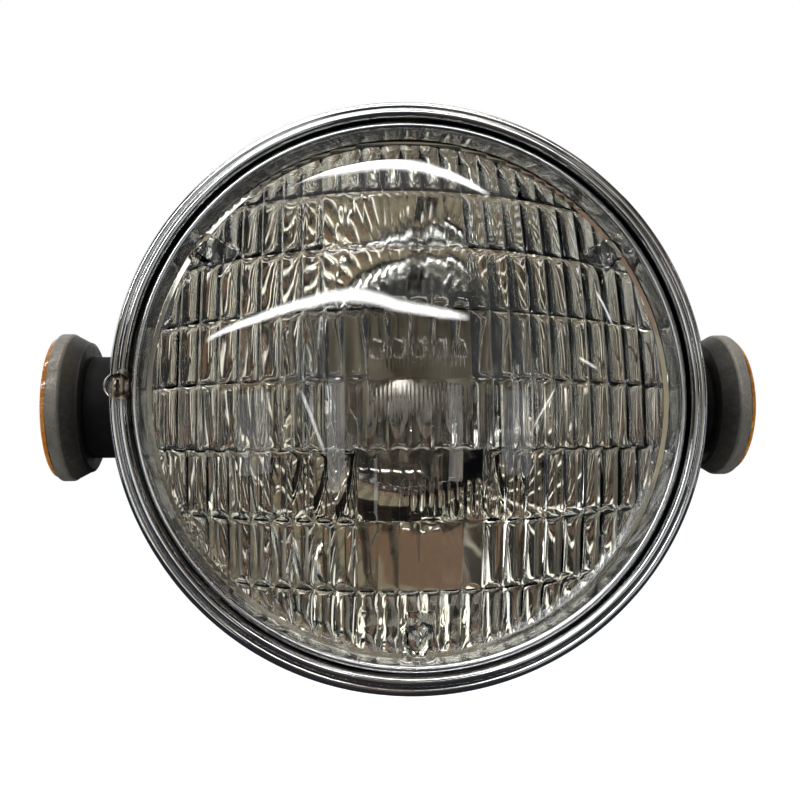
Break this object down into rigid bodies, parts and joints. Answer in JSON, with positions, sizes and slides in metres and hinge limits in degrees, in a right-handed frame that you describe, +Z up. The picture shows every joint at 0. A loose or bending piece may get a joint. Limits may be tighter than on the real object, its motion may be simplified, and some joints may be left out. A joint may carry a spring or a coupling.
{
  "type": "motorcycle headlight",
  "caption": "Round chrome-rimmed motorcycle headlight with a fluted sealed beam, a side aiming screw and amber side reflectors.",
  "frame": {"origin": "midpoint between the two side mounting studs, on the stud axis", "axes": "+X towards the lamp's left-hand fork leg as seen by someone facing the lens (right in the front view), +Y from the lens back to the wiring hole, +Z up; the studs lie along X"},
  "size_m": [0.25, 0.1341, 0.1996],
  "materials": {
    "chrome": "bright plate, light haze and fine scratches",
    "ring_chrome": "bright plate with fine pitting",
    "zinc_steel": "dull zinc plate",
    "dull_nickel": "dull nickel plate with grime",
    "spring_steel": "plain wire",
    "clear_glass": "pressed clear glass, fluted inside",
    "silvered_glass": "glass silvered on the inside",
    "nickel": "plain nickel",
    "tungsten": "bare tungsten wire",
    "brass": "tinned brass",
    "nylon": "moulded nylon",
    "black_paint": "black enamel",
    "black_rubber": "moulded black rubber",
    "cast_alloy": "oxidised die casting",
    "amber_plastic": "clear amber with prisms behind"
  },
  "bodies": {
    "housing": {"outer_rim": "chrome", "adjuster_spring": "spring_steel", "pivot_bracket_top": "zinc_steel", "pivot_bracket_bottom": "zinc_steel", "pivot_screw_top": "dull_nickel", "pivot_screw_bottom": "dull_nickel", "shell": "black_paint", "rim_screws": "dull_nickel", "clip_nuts": "zinc_steel", "grommet": "black_rubber", "spacer_left": "black_rubber", "spacer_right": "black_rubber", "mount_studs": "zinc_steel", "mount_washers": "zinc_steel", "mount_nuts": "zinc_steel", "reflector_body_left": "cast_alloy", "reflector_body_right": "cast_alloy", "reflector_lens_left": "amber_plastic", "reflector_lens_right": "amber_plastic"},
    "beam": {"retaining_ring": "ring_chrome", "ring_screws": "zinc_steel", "mount_ring": "zinc_steel", "lens": "clear_glass", "bowl": "silvered_glass", "filament_shield": "nickel", "filament_main": "tungsten", "filament_dip": "tungsten", "lead_wires": "nickel", "ferrules": "brass", "terminals": "brass", "adjuster_nut": "nylon"},
    "aimer": {"adjuster_screw": "dull_nickel"}
  },
  "joints": [
    {"name": "beam_aim", "type": "hinge", "parent": "housing", "child": "beam", "pos_m": [0, -0.034, 0], "axis": [0, 0, 1], "range_deg": [-2, 2]},
    {"name": "aimer_turn", "type": "hinge", "parent": "housing", "child": "aimer", "pos_m": [-0.0938, 0, 0], "axis": [0, 1, 0], "range_deg": [-1690, 1690]}
  ],
  "couplings": [
    {"joint": "aimer_turn", "follows": "beam_aim", "ratio": 841.9}
  ]
}
